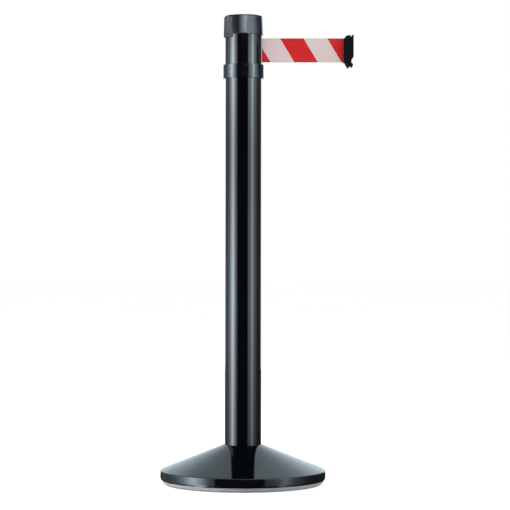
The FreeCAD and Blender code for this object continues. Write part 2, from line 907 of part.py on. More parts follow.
def brake_parts():
    carrier = ring("Carrier_disc", "carrier_radius", "core_nose_radius", "carrier_thick", "core_top")
    high = "shoe_pin_top - core_top"
    pins = upright_pins("Shoe_pin", "shoe_pin_radius", "shoe_pivot", "core_top", high, around(2, 0))
    pin_set = group("ShoePins", pins)
    subpart(cut("BrakeCarrier", carrier, pin_set), "brake_carrier")
    subpart(pin_set, "brake_pivot_pins")
    subpart(brake_shoe("ShoeA", 0), "brake_shoe_a")
    subpart(brake_shoe("ShoeB", 180), "brake_shoe_b")
    subpart(ring("BrakeDrum", "drum_outer", "drum_inner", "roof_low - drum_low", "drum_low"), "brake_drum")


def build():
    base_parts()
    subpart(head_sleeve(), "head_sleeve")
    collar_parts()
    roof_holes = cap_parts()
    cassette_parts(roof_holes)
    spool_parts()
    brake_parts()
    body, cover, pin, screws = clip_parts()
    subpart(body, "clip_body")
    subpart(cover, "clip_cover")
    subpart(pin, "belt_end_pin")
    subpart(screws, "clip_screws")


def check():
    """Stops before anything is written if an object failed or a sub-part isn't a valid solid."""
    failed = [item.Label for item in DOC.Objects if {"Invalid", "Error"} & set(item.State)]
    for item in SUBPARTS:
        shape = item.Shape
        if shape.isNull() or not shape.isValid() or not shape.Solids or shape.Volume <= 0:
            failed.append(item.Label)
    if failed:
        raise RuntimeError(f"these failed: {sorted(set(failed))}")


def export():
    os.makedirs("parts", exist_ok=True)
    for item in SUBPARTS:
        item.Shape.exportStep(f"parts/{item.Label}.step")
        print(f"{item.Label}: {len(item.Shape.Solids)} solid, {item.Shape.Volume / 1000:.1f} cm3")


build()
DOC.recompute()
check()
export()
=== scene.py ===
import json
import math

import bpy
import bmesh
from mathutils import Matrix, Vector


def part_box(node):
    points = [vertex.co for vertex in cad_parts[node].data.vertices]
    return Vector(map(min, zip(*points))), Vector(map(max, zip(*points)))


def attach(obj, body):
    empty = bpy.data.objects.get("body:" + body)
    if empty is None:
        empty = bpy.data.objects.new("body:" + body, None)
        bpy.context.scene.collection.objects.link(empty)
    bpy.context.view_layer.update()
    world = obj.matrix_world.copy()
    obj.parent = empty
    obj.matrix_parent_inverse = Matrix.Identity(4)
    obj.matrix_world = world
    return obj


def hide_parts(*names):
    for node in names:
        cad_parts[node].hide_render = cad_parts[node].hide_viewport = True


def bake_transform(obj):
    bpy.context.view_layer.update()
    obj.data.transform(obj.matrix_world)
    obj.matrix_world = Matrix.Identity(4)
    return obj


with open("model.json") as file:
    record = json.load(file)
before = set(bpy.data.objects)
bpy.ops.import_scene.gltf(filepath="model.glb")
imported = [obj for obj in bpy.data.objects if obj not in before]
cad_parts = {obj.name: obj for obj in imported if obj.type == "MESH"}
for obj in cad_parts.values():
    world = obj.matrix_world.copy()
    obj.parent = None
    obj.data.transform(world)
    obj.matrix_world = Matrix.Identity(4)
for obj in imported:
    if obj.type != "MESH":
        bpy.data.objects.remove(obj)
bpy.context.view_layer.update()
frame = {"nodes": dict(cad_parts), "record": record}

MM = 0.001
UP = Vector((0, 0, 1))

# Sizes that the frame gives
TUBE_LOW, TUBE_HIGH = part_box("post_tube")
SLEEVE_LOW, SLEEVE_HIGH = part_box("head_sleeve")
COLLAR_LOW, COLLAR_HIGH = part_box("collar_ring")
CAP_LOW, CAP_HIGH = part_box("top_cap")
COVER_LOW, COVER_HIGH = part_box("base_cover")
RING_LOW, RING_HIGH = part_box("floor_ring")
BELT_LOW, BELT_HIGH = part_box("belt_web")
_, ROLL_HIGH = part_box("belt_roll")
CLIP_LOW, CLIP_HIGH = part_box("clip_body")
LID_LOW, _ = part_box("clip_cover")
PIN_LOW, PIN_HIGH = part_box("belt_end_pin")
GUIDE_LOW, GUIDE_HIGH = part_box("guide_pins")

TUBE_R = TUBE_HIGH.x
SLEEVE_R = SLEEVE_HIGH.x
COLLAR_R = COLLAR_HIGH.y
RIM_R = COVER_HIGH.x
RING_R = RING_HIGH.x
BELT_MIDDLE = (BELT_LOW.z + BELT_HIGH.z) / 2
BELT_WIDTH = BELT_HIGH.z - BELT_LOW.z


# ---------------------------------------------------------------- materials

class Nodes:
    """A material's node tree with short calls for adding and linking nodes."""

    def __init__(self, name):
        self.material = bpy.data.materials.new(name)
        self.material.use_nodes = True
        self.tree = self.material.node_tree
        self.shader = self.tree.nodes["Principled BSDF"]
        self.place = self.add("ShaderNodeTexCoord").outputs["Object"]

    def add(self, kind, **settings):
        node = self.tree.nodes.new(kind)
        for key, value in settings.items():
            setattr(node, key, value)
        return node

    def link(self, source, target):
        self.tree.links.new(source, target)

    def feed(self, socket, value):
        if isinstance(value, bpy.types.NodeSocket):
            self.link(value, socket)
        else:
            socket.default_value = value

    def math(self, operation, a, b=0.0, c=0.0):
        node = self.add("ShaderNodeMath", operation=operation)
        for socket, value in zip(node.inputs, (a, b, c)):
            self.feed(socket, value)
        return node.outputs[0]

    def split(self, vector):
        node = self.add("ShaderNodeSeparateXYZ")
        self.link(vector, node.inputs[0])
        return node.outputs

    def stretched(self, scale):
        node = self.add("ShaderNodeMapping")
        self.link(self.place, node.inputs["Vector"])
        node.inputs["Scale"].default_value = scale
        return node.outputs[0]

    def noise(self, scale, detail=3.0, roughness=0.5, vector=None):
        node = self.add("ShaderNodeTexNoise")
        self.link(vector or self.place, node.inputs["Vector"])
        node.inputs["Scale"].default_value = scale
        node.inputs["Detail"].default_value = detail
        node.inputs["Roughness"].default_value = roughness
        return node.outputs["Fac"]

    def remap(self, value, low, high, to_low, to_high):
        node = self.add("ShaderNodeMapRange", interpolation_type="SMOOTHSTEP")
        for socket, number in zip(node.inputs, (value, low, high, to_low, to_high)):
            self.feed(socket, number)
        return node.outputs["Result"]

    def curve(self, value, stops):
        """A line through (value, level) stops, whose values rise."""
        first, last = stops[0][0], stops[-1][0]
        peak = max(level for _, level in stops)
        node = self.add("ShaderNodeValToRGB")
        ramp = node.color_ramp
        ramp.interpolation = "LINEAR"
        while len(ramp.elements) < len(stops):
            ramp.elements.new(0.5)
        for element, (place, level) in zip(ramp.elements, stops):
            element.position = (place - first) / (last - first)
        for element, (place, level) in zip(ramp.elements, stops):
            element.color = (level / peak, level / peak, level / peak, 1)
        share = self.math("DIVIDE", self.math("SUBTRACT", value, first), last - first)
        self.link(share, node.inputs["Fac"])
        return self.math("MULTIPLY", node.outputs["Color"], peak)

    def mix(self, factor, a, b):
        node = self.add("ShaderNodeMix", data_type="RGBA")
        self.feed(node.inputs["Factor"], factor)
        self.feed(node.inputs[6], a)
        self.feed(node.inputs[7], b)
        return node.outputs[2]

    def bump(self, height, distance, strength=1.0, normal=None):
        node = self.add("ShaderNodeBump")
        self.link(height, node.inputs["Height"])
        node.inputs["Distance"].default_value = distance
        node.inputs["Strength"].default_value = strength
        if normal:
            self.link(normal, node.inputs["Normal"])
        return node.outputs[0]

    def set(self, **inputs):
        for key, value in inputs.items():
            self.feed(self.shader.inputs[key.replace("_", " ")], value)
        return self.material


def gloss_black():
    """Stoved black enamel: near-black, glossy, with a faint orange peel, fine dust and hairline scuffs."""
    n = Nodes("gloss_black")
    scuffs = n.noise(900.0, 2.0, 0.6, n.stretched((1.0, 1.0, 0.04)))
    scuff_mask = n.remap(scuffs, 0.66, 0.78, 0.0, 1.0)
    cloud = n.noise(9.0, 4.0, 0.55)
    height = n.split(n.place)[2]
    near_floor = n.remap(height, 0.0, 0.05, 1.0, 0.0)
    dust = n.math("MULTIPLY", near_floor, n.remap(n.noise(420.0, 4.0, 0.7), 0.5, 0.8, 0.0, 0.12))
    tone = n.mix(cloud, (0.0006, 0.0009, 0.0018, 1), (0.0012, 0.0017, 0.0030, 1))
    dusty = n.mix(dust, tone, (0.05, 0.05, 0.048, 1))
    rough = n.math("ADD", n.remap(cloud, 0.3, 0.7, 0.055, 0.085), n.math("MULTIPLY", scuff_mask, 0.08))
    rough = n.math("ADD", rough, n.math("MULTIPLY", dust, 0.3))
    peel = n.bump(n.noise(260.0, 2.0, 0.4), 0.00002, 0.35)
    fine = n.bump(scuffs, 0.000004, 0.4, peel)
    n.shader.inputs["IOR"].default_value = 1.5
    return n.set(Base_Color=dusty, Roughness=rough, Normal=fine)


def gloss_moulding():
    """Glossy black moulded plastic: faint flow marks, pin-point grain and fine rubbing around it."""
    n = Nodes("collar_gloss")
    flow = n.noise(30.0, 3.0, 0.6, n.stretched((1.0, 1.0, 0.3)))
    grain = n.noise(1300.0, 2.0, 0.5)
    rub = n.remap(n.noise(700.0, 2.0, 0.6, n.stretched((0.08, 0.08, 1.0))), 0.62, 0.78, 0.0, 0.08)
    tone = n.mix(flow, (0.0008, 0.0014, 0.0028, 1), (0.0016, 0.0024, 0.0040, 1))
    rough = n.math("ADD", n.remap(grain, 0.3, 0.7, 0.08, 0.12), rub)
    n.shader.inputs["IOR"].default_value = 1.5
    return n.set(Base_Color=tone, Roughness=rough, Normal=n.bump(grain, 0.000012, 0.4))


def moulded(name, dark, light, roughness, grain, depth, shine=0.5):
    """Spark-textured moulded plastic with slight tone changes and rubbed patches."""
    n = Nodes(name)
    cloud = n.noise(22.0, 4.0, 0.6)
    grains = n.noise(grain, 2.0, 0.55)
    rubbed = n.remap(n.noise(60.0, 5.0, 0.65), 0.52, 0.72, 0.0, 1.0)
    tone = n.mix(cloud, (*dark, 1), (*light, 1))
    speck = n.mix(n.remap(grains, 0.55, 0.75, 0.0, 0.5), tone, (*(1.25 * x for x in light), 1))
    grainy = n.remap(grains, 0.3, 0.7, roughness - 0.03, roughness + 0.04)
    rough = n.math("SUBTRACT", grainy, n.math("MULTIPLY", rubbed, 0.04))
    n.shader.inputs["IOR"].default_value = 1.48
    n.shader.inputs["Specular IOR Level"].default_value = shine
    return n.set(Base_Color=speck, Roughness=rough, Normal=n.bump(grains, depth, 0.6))


def rubber():
    """Grey rubber with a dull bloom, moulding specks and a lower edge that darkens towards the floor."""
    n = Nodes("ring_rubber")
    specks = n.noise(1500.0, 3.0, 0.6)
    bloom = n.noise(30.0, 4.0, 0.6)
    height = n.split(n.place)[2]
    # Darker towards the floor, in patches that follow the bloom.
    low_darkening = n.remap(height, 0.0, 0.004, 0.65, 0.0)
    tone = n.mix(bloom, (0.13, 0.135, 0.14, 1), (0.20, 0.205, 0.21, 1))
    speckled = n.mix(n.remap(specks, 0.6, 0.8, 0.0, 0.6), tone, (0.34, 0.34, 0.33, 1))
    darkened_low = n.mix(n.math("MULTIPLY", low_darkening, bloom), speckled, (0.09, 0.085, 0.08, 1))
    rough = n.remap(specks, 0.3, 0.7, 0.62, 0.82)
    return n.set(Base_Color=darkened_low, Roughness=rough, Normal=n.bump(specks, 0.00006, 0.5))


STRIPE_PERIOD = 99.4 * MM
STRIPE_SLOPE = 0.604
STRIPE_START = 91.5 * MM
YARN = 0.9 * MM
PICK = 1.1 * MM


def webbing():
    """Woven polyester belt with printed red diagonals on off-white, ribs along it, stripe edges that bleed
    into the weave, and painted shade in the weave's hollows.
    """
    n = Nodes("belt_webbing")
    along, _, height = n.split(n.place)
    rise = n.math("SUBTRACT", height, BELT_MIDDLE)
    bleed = n.math("MULTIPLY", n.math("SUBTRACT", n.noise(1800.0, 2.0, 0.6), 0.5), 1.4 * MM)
    slant = n.math("ADD", n.math("MULTIPLY_ADD", rise, STRIPE_SLOPE, along), bleed)
    phase = n.math("DIVIDE", n.math("SUBTRACT", slant, STRIPE_START), STRIPE_PERIOD)
    part = n.math("FRACT", n.math("ADD", phase, 16.0))
    edge = 0.004
    rising = n.remap(part, 0.0, edge, 0.0, 1.0)
    falling = n.remap(part, 0.5 - edge / 2, 0.5 + edge / 2, 1.0, 0.0)
    red = n.math("MULTIPLY", rising, falling)

    warp = n.math("SINE", n.math("MULTIPLY", height, 2 * math.pi / YARN))
    weft = n.math("SINE", n.math("MULTIPLY", along, 2 * math.pi / PICK))
    slanting = n.math("ADD", height, n.math("MULTIPLY", along, 0.5))
    twill = n.math("SINE", n.math("MULTIPLY", slanting, math.pi / YARN))
    weave = n.math("ADD", n.math("MULTIPLY", warp, weft), n.math("MULTIPLY", twill, 0.45))
    # Painted shade: the weave's low places get the darker tone, its high places the lighter one.
    weave_painted_shade = n.remap(weave, -1.4, 1.4, 0.0, 1.0)
    fuzz = n.noise(3500.0, 3.0, 0.7)
    streak = n.noise(40.0, 3.0, 0.6, n.stretched((0.3, 1.0, 9.0)))

    # Each colour mixes a painted-shade tone and a lit tone by the weave's relief.
    red_tone = n.mix(weave_painted_shade, (0.34, 0.002, 0.003, 1), (0.54, 0.005, 0.007, 1))
    white_tone = n.mix(weave_painted_shade, (0.42, 0.335, 0.33, 1), (0.60, 0.49, 0.482, 1))
    cloth = n.mix(red, white_tone, red_tone)
    worn = n.mix(n.remap(streak, 0.45, 0.75, 0.0, 0.07), cloth, (0.36, 0.29, 0.28, 1))
    selvedge = n.remap(n.math("ABSOLUTE", rise), BELT_WIDTH / 2 - 1.6 * MM, BELT_WIDTH / 2, 0.0, 0.28)
    finished = n.mix(selvedge, worn, n.mix(red, (0.34, 0.29, 0.28, 1), (0.27, 0.003, 0.004, 1)))
    relief = n.math("ADD", weave, n.math("MULTIPLY", fuzz, 0.5))
    n.shader.inputs["Sheen Weight"].default_value = 0.06
    n.shader.inputs["Sheen Roughness"].default_value = 0.4
    n.shader.inputs["IOR"].default_value = 1.46
    n.shader.inputs["Specular IOR Level"].default_value = 0.2
    rough = n.remap(fuzz, 0.3, 0.7, 0.62, 0.8)
    return n.set(Base_Color=finished, Roughness=rough, Normal=n.bump(relief, 0.00012, 0.55))


def metal(name, low, high, roughness, scale, stretch=(1.0, 1.0, 1.0), metallic=1.0, depth=0.00002):
    """Plain or plated metal: fine directional marks, cloudy tone and uneven polish."""
    n = Nodes(name)
    marks = n.noise(scale, 3.0, 0.6, n.stretched(stretch))
    cloud = n.noise(40.0, 4.0, 0.6)
    tone = n.mix(cloud, (*low, 1), (*high, 1))
    n.shader.inputs["Metallic"].default_value = metallic
    return n.set(
        Base_Color=tone,
        Roughness=n.remap(marks, 0.3, 0.7, roughness - 0.06, roughness + 0.08),
        Normal=n.bump(marks, depth, 0.4),
    )


DRAWN_UP = (1.0, 1.0, 0.1)


def all_materials():
    return {
        "gloss_black": gloss_black(),
        "head_plastic": moulded(
            "head_plastic", (0.004, 0.0055, 0.0075), (0.008, 0.010, 0.013), 0.14, 1600.0, 0.00001
        ),
        "receiver_plastic": moulded(
            "receiver_plastic", (0.010, 0.0115, 0.012), (0.018, 0.020, 0.021), 0.34, 1500.0, 0.00004
        ),
        "disc_plastic": moulded(
            "disc_plastic", (0.012, 0.013, 0.015), (0.02, 0.022, 0.025), 0.62, 1200.0, 0.00008, shine=0.2
        ),
        "collar_gloss": gloss_moulding(),
        "clip_plastic": moulded(
            "clip_plastic", (0.002, 0.0019, 0.0020), (0.004, 0.0038, 0.0039), 0.6, 1900.0, 0.00004, shine=0.06
        ),
        "inner_plastic": moulded(
            "inner_plastic", (0.045, 0.045, 0.048), (0.07, 0.07, 0.075), 0.5, 1400.0, 0.00003
        ),
        "ring_rubber": rubber(),
        "brake_lining": moulded("brake_lining", (0.10, 0.075, 0.06), (0.17, 0.13, 0.11), 0.8, 900.0, 0.0001),
        "belt_webbing": webbing(),
        "zinc_steel": metal("zinc_steel", (0.52, 0.53, 0.55), (0.68, 0.69, 0.71), 0.32, 700.0, DRAWN_UP),
        "cast_iron": metal(
            "cast_iron", (0.045, 0.045, 0.047), (0.09, 0.088, 0.085), 0.66, 480.0, metallic=0.6, depth=0.0004
        ),
        "cast_alloy": metal("cast_alloy", (0.45, 0.46, 0.47), (0.58, 0.59, 0.60), 0.5, 600.0, depth=0.0001),
        "dark_screw": metal("dark_screw", (0.03, 0.03, 0.033), (0.06, 0.06, 0.065), 0.4, 900.0),
        "spring_steel": metal("spring_steel", (0.12, 0.14, 0.20), (0.26, 0.28, 0.33), 0.3, 800.0, DRAWN_UP),
        "bronze": metal("bronze", (0.42, 0.27, 0.13), (0.58, 0.40, 0.22), 0.42, 1200.0, depth=0.00005),
    }


MATERIALS = all_materials()


# ---------------------------------------------------------------- mesh helpers

ARC_STEPS = 6
HOLD = 0.5 * MM
AROUND = 256


def rounded(corners, closed=True):
    """An outline from corners (x, y, radius), in which each round corner becomes an arc."""
    points = []
    count = len(corners)
    for i, (x, y, radius) in enumerate(corners):
        here = Vector((x, y))
        at_end = not closed and i in (0, count - 1)
        if at_end or radius <= 0:
            points.append(here)
            continue
        back = (Vector(corners[i - 1][:2]) - here)
        ahead = (Vector(corners[(i + 1) % count][:2]) - here)
        room = min(back.length, ahead.length) / 2
        back.normalize()
        ahead.normalize()
        half = back.angle(ahead) / 2
        reach = min(radius / math.tan(half), room * 0.96)
        true_radius = reach * math.tan(half)
        centre = here + (back + ahead).normalized() * (true_radius / math.sin(half))
        start = here + back * reach
        end = here + ahead * reach
        a = start - centre
        b = end - centre
        turn = a.angle_signed(b)
        for step in range(ARC_STEPS + 1):
            angle = -turn * step / ARC_STEPS
            cos, sin = math.cos(angle), math.sin(angle)
            points.append(centre + Vector((a.x * cos - a.y * sin, a.x * sin + a.y * cos)))
    return points


def smooth_faces(bm, sharp):
    """Smooth shading on every face, broken at edges that turn by more than a number of degrees."""
    for face in bm.faces:
        face.smooth = True
    for edge in bm.edges:
        edge.smooth = len(edge.link_faces) != 2 or edge.calc_face_angle() < math.radians(sharp)


def mark_sharp(mesh, sharp=38.0):
    bm = bmesh.new()
    bm.from_mesh(mesh)
    smooth_faces(bm, sharp)
    bm.to_mesh(mesh)
    bm.free()


def finish_mesh(name, bm, body, material, sharp=38.0, weighted=True):
    """Turns a bmesh into a piece: merged, outward-facing, smooth apart from its sharp edges."""
    bmesh.ops.remove_doubles(bm, verts=bm.verts, dist=1e-6)
    bmesh.ops.recalc_face_normals(bm, faces=bm.faces)
    smooth_faces(bm, sharp)
    mesh = bpy.data.meshes.new(name)
    bm.to_mesh(mesh)
    bm.free()
    piece = bpy.data.objects.new(name, mesh)
    bpy.context.scene.collection.objects.link(piece)
    mesh.materials.append(MATERIALS[material])
    if weighted:
        normals = piece.modifiers.new("even_normals", "WEIGHTED_NORMAL")
        normals.keep_sharp = True
        normals.weight = 80
    if body:
        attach(piece, body)
    return piece


def loft(bm, rings, closed_profile=True, close_around=True):
    """Joins rings of equally many points, each to the next, into quads."""
    rows = [[bm.verts.new(p) for p in ring] for ring in rings]
    count = len(rows[0])
    pairs = len(rows) if closed_profile else len(rows) - 1
    for i in range(pairs):
        low, high = rows[i], rows[(i + 1) % len(rows)]
        for j in range(count if close_around else count - 1):
            k = (j + 1) % count
            bm.faces.new((low[j], low[k], high[k], high[j]))
    return rows


def lathe(bm, outline):
    """A solid of revolution about the post's axis from a closed outline of radius and height."""
    angles = [2 * math.pi * i / AROUND for i in range(AROUND)]
    rings = [[Vector((r * math.cos(a), r * math.sin(a), z)) for a in angles] for r, z in outline]
    return loft(bm, rings)


def turned(name, corners, body, material, node):
    """A turned piece on a body, which stands for a CAD node."""
    bm = bmesh.new()
    lathe(bm, rounded(corners))
    piece = finish_mesh(name, bm, body, material)
    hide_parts(node)
    return piece


def paint(node, material):
    """Gives a CAD node its finished material."""
    data = frame["nodes"][node].data
    data.materials.clear()
    data.materials.append(MATERIALS[material])


# ---------------------------------------------------------------- base

COVER_WALL = 1.5 * MM
RIM_HIGH = 28.5 * MM
RIM_TAPER = 14.0 * MM
RIM_FOOT_IN = 1.8 * MM
NECK_GAP = 0.3 * MM


def base_cover():
    """The spun cone: hemmed foot, upright rim with a rolled shoulder, straight slope, turned-in neck."""
    foot_r = RIM_R - RIM_FOOT_IN
    neck_r = TUBE_R + NECK_GAP
    top = COVER_HIGH.z
    drop = 1.6 * MM
    slope = (top - RIM_HIGH) / (RIM_R - neck_r - COVER_WALL)
    corners = [
        (foot_r, COVER_LOW.z, 0.7 * MM),
        (RIM_R, RIM_TAPER, 4.0 * MM),
        (RIM_R, RIM_HIGH, 2.2 * MM),
        (neck_r + COVER_WALL, top, 1.0 * MM),
        (neck_r, top, 0.4 * MM),
        (neck_r, TUBE_LOW.z, 0),
        (neck_r + COVER_WALL, TUBE_LOW.z, 0),
        (neck_r + COVER_WALL, top - drop, 0.5 * MM),
        (RIM_R - COVER_WALL, RIM_HIGH - drop + COVER_WALL * slope, 1.0 * MM),
        (RIM_R - COVER_WALL, RIM_TAPER, 3.0 * MM),
        (foot_r - COVER_WALL, COVER_LOW.z, 0.5 * MM),
    ]
    return turned("base_cover_shell", corners, "post", "gloss_black", "base_cover")


def floor_ring():
    """The rubber ring under the rim: a bulging edge with a groove around it, and a ribbed tread below."""
    inner = 146 * MM
    tongue_in, tongue_out = 151.5 * MM, 158.5 * MM
    high = COVER_LOW.z
    foot = 162.5 * MM
    groove = 0.7 * MM
    corners = [(inner, 0, 0.6 * MM)]
    treads = 5
    pitch = (foot - inner) / treads
    for i in range(1, treads):
        middle = inner + i * pitch
        corners += [
            (middle - groove, 0, 0.2 * MM),
            (middle - groove / 2, groove, 0.2 * MM),
            (middle + groove / 2, groove, 0.2 * MM),
            (middle + groove, 0, 0.2 * MM),
        ]
    corners += [
        (foot, 0, 1.0 * MM),
        (foot + 5.2 * MM, 4.2 * MM, 1.5 * MM),
        (foot + 5.1 * MM, 5.0 * MM, 0.2 * MM),
        (foot + 6.2 * MM, 6.2 * MM, 0.8 * MM),
        (RING_R, high - 0.6 * MM, 0.5 * MM),
        (RING_R - 0.3 * MM, high, 0.2 * MM),
        (tongue_out, high, 0),
        (tongue_out, RING_HIGH.z, 0.3 * MM),
        (tongue_in, RING_HIGH.z, 0.3 * MM),
        (tongue_in, high, 0),
        (inner, high, 0.3 * MM),
    ]
    return turned("floor_ring_rubber", corners, "post", "ring_rubber", "floor_ring")


# ---------------------------------------------------------------- post and head

def post_tube():
    wall = 1.5 * MM
    corners = [
        (TUBE_R - wall, TUBE_LOW.z, 0),
        (TUBE_R, TUBE_LOW.z, 0.4 * MM),
        (TUBE_R, TUBE_HIGH.z, 0.4 * MM),
        (TUBE_R - wall, TUBE_HIGH.z, 0),
    ]
    return turned("post_tube_skin", corners, "post", "gloss_black", "post_tube")


COLLAR_SCREW_ANGLES = (math.radians(55), math.radians(125))


def collar_ring():
    """The ring over the joint, with the groove that a clip's hook enters and two screws at the back."""
    low, high = COLLAR_LOW.z, COLLAR_HIGH.z
    groove_in, groove_out, groove_deep = 39.6 * MM, 41.4 * MM, 7 * MM
    joint = SLEEVE_R + 0.02 * MM
    corners = [
        (TUBE_R, low, 0.3 * MM),
        (COLLAR_R, low, 0.35 * MM),
        (COLLAR_R, high, 0.3 * MM),
        (groove_out, high, 0.25 * MM),
        (groove_out, high - groove_deep, 0.3 * MM),
        (groove_in, high - groove_deep, 0.3 * MM),
        (groove_in, high, 0.25 * MM),
        (joint, high, 0.2 * MM),
        (joint, TUBE_HIGH.z, 0),
        (TUBE_R, TUBE_HIGH.z, 0),
    ]
    piece = turned("collar_ring_shell", corners, "post", "collar_gloss", "collar_ring")
    for i, angle in enumerate(COLLAR_SCREW_ANGLES, start=1):
        out = radial(angle)
        spot = out * COLLAR_R + UP * (low + high) / 2
        bored(piece, f"collar_drill_{i}", spot, out, 1.9 * MM, 1.8 * MM)
        head = spot - out * 0.8 * MM
        screw_head(f"collar_screw_{i}", head, out, 1.6 * MM, 1.2 * MM, "post", "collar_screws")
    return piece


def fine_angles(marks):
    """Evenly spaced angles, with the given ones in place of their nearest neighbours."""
    gap = 2 * math.pi / AROUND
    marks = sorted(m % (2 * math.pi) for m in marks)

    def apart(a, b):
        return abs((a - b + math.pi) % (2 * math.pi) - math.pi)

    even = [gap * i for i in range(AROUND)]
    clear = [a for a in even if all(apart(a, m) > gap * 0.4 for m in marks)]
    return sorted(clear + marks)


def head_sleeve():
    """The glossy head tube with the belt's slot through its wall and a rolled lip around the slot."""
    inner = 36.6 * MM
    spigot_in = 35.5 * MM
    joint, ledge = TUBE_HIGH.z, 860 * MM
    half = 3.0 * MM
    slot_low, slot_high = BELT_LOW.z - 2.2 * MM, BELT_HIGH.z + 2.2 * MM
    lip = 0.7 * MM
    edge_angle = math.asin(half / SLEEVE_R)
    lip_angle = math.asin((half + lip) / SLEEVE_R)
    angles = fine_angles([edge_angle, -edge_angle, lip_angle, -lip_angle, 0.0])
    heights = [joint, joint + HOLD, slot_low - lip, slot_low, slot_low + 2 * MM]
    heights += [slot_high - 2 * MM, slot_high, slot_high + lip, SLEEVE_HIGH.z - HOLD, SLEEVE_HIGH.z]
    bm = bmesh.new()

    def rows(radius):
        ring = [(radius * math.cos(a), radius * math.sin(a)) for a in angles]
        return [[bm.verts.new((x, y, z)) for x, y in ring] for z in heights]

    outer, bore = rows(SLEEVE_R), rows(inner)
    count = len(angles)

    def open_cell(i, j):
        width = (angles[(j + 1) % count] - angles[j]) % (2 * math.pi)
        middle = (angles[j] + width / 2 + math.pi) % (2 * math.pi) - math.pi
        level = (heights[i] + heights[i + 1]) / 2
        return abs(middle) < edge_angle and slot_low < level < slot_high

    for i in range(len(heights) - 1):
        for j in range(count):
            k = (j + 1) % count
            if open_cell(i, j):
                if not open_cell(i, j - 1):
                    bm.faces.new((outer[i][j], outer[i + 1][j], bore[i + 1][j], bore[i][j]))
                if not open_cell(i, k):
                    bm.faces.new((outer[i][k], bore[i][k], bore[i + 1][k], outer[i + 1][k]))
                if not open_cell(i - 1, j):
                    bm.faces.new((outer[i][j], bore[i][j], bore[i][k], outer[i][k]))
                if not open_cell(i + 1, j):
                    bm.faces.new((outer[i + 1][j], outer[i + 1][k], bore[i + 1][k], bore[i + 1][j]))
                continue
            bm.faces.new((outer[i][j], outer[i][k], outer[i + 1][k], outer[i + 1][j]))
            bm.faces.new((bore[i][j], bore[i + 1][j], bore[i + 1][k], bore[i][k]))
    spigot_out = TUBE_R - 1.5 * MM
    spigot = [(spigot_out, joint), (spigot_out, SLEEVE_LOW.z), (spigot_in, SLEEVE_LOW.z)]
    spigot += [(spigot_in, ledge), (inner, ledge)]
    loops = [outer[0]]
    for r, z in spigot:
        loops.append([bm.verts.new((r * math.cos(a), r * math.sin(a), z)) for a in angles])
    loops.append(bore[0])
    for low, high in zip(loops, loops[1:]):
        for j in range(count):
            k = (j + 1) % count
            bm.faces.new((low[j], high[j], high[k], low[k]))
    for j in range(count):
        k = (j + 1) % count
        bm.faces.new((outer[-1][j], outer[-1][k], bore[-1][k], bore[-1][j]))
    piece = finish_mesh("head_sleeve_skin", bm, "post", "gloss_black")
    rim = piece.modifiers.new("soft_edges", "BEVEL")
    rim.width = 0.35 * MM
    rim.segments = 3
    rim.limit_method = "ANGLE"
    rim.angle_limit = math.radians(50)
    rim.harden_normals = False
    piece.modifiers.move(1, 0)
    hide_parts("head_sleeve")
    return piece


CROWN_R = 39.7 * MM
SKIRT_R = 41.5 * MM
SKIRT_FOOT = 942.0 * MM
SHOULDER = 3.0 * MM
CAP_BORE = 36.4 * MM
DISC_R = 33.4 * MM
RECEIVER_ANGLES = (math.radians(122), math.radians(212))
PLAIN_ANGLES = (math.radians(302), math.radians(32))
SCREW_BACK = math.radians(7)
PAD_SCREW_Z = 957 * MM
PAD_FACE_AT_SCREW = 40.5 * MM
PAD_HOLE_R, PAD_HOLE_DEEP = 2.6 * MM, 3.0 * MM
PAD_SCREW_R, PAD_SCREW_LONG, PAD_SCREW_SUNK = 2.2 * MM, 4.7 * MM, 2.2 * MM


def radial(angle):
    return Vector((math.cos(angle), math.sin(angle), 0))


def cap_shell():
    """The cap's round shell: tapered wall, soft shoulder, a seat for the crown's disc and a beaded foot."""
    top = CAP_HIGH.z
    bead = 0.5 * MM
    corners = [
        (0, top - 3.5 * MM, 0),
        (CAP_BORE, top - 3.5 * MM, 1.0 * MM),
        (CAP_BORE, SLEEVE_HIGH.z, 0),
        (SLEEVE_R + 0.1 * MM, SLEEVE_HIGH.z, 0),
        (SLEEVE_R + 0.1 * MM, SKIRT_FOOT, 0.4 * MM),
        (SKIRT_R, SKIRT_FOOT, 0.7 * MM),
        (SKIRT_R, SKIRT_FOOT + 2 * bead, 0.4 * MM),
        (SKIRT_R - bead, SKIRT_FOOT + 4 * bead, 0.8 * MM),
        (CROWN_R, top, SHOULDER),
        (DISC_R + 0.8 * MM, top, 0.4 * MM),
        (DISC_R + 0.2 * MM, top - 0.7 * MM, 0.3 * MM),
        (0, top - 0.7 * MM, 0),
    ]
    return turned("top_cap_shell", corners, "post", "head_plastic", "top_cap")


def cap_disc():
    """The matt disc set into the crown, with a fine gap around it."""
    low, high = CAP_HIGH.z - 0.75 * MM, CAP_HIGH.z - 0.2 * MM
    corners = [(0, low, 0), (DISC_R, low, 0), (DISC_R, high, 0.3 * MM), (0, high, 0)]
    disc = turned("cap_disc", corners, "post", "disc_plastic", "top_cap")


def edge_levels(low, high, edge):
    """Heights and insets that round a block's bottom and top edges."""
    steps = 4
    foot = []
    for i in range(steps + 1):
        turn = math.pi / 2 * i / steps
        foot.append((low + edge * (1 - math.sin(turn)), edge * (1 - math.cos(turn))))
    foot.reverse()
    return foot + [(low + high - z, inset) for z, inset in reversed(foot)]


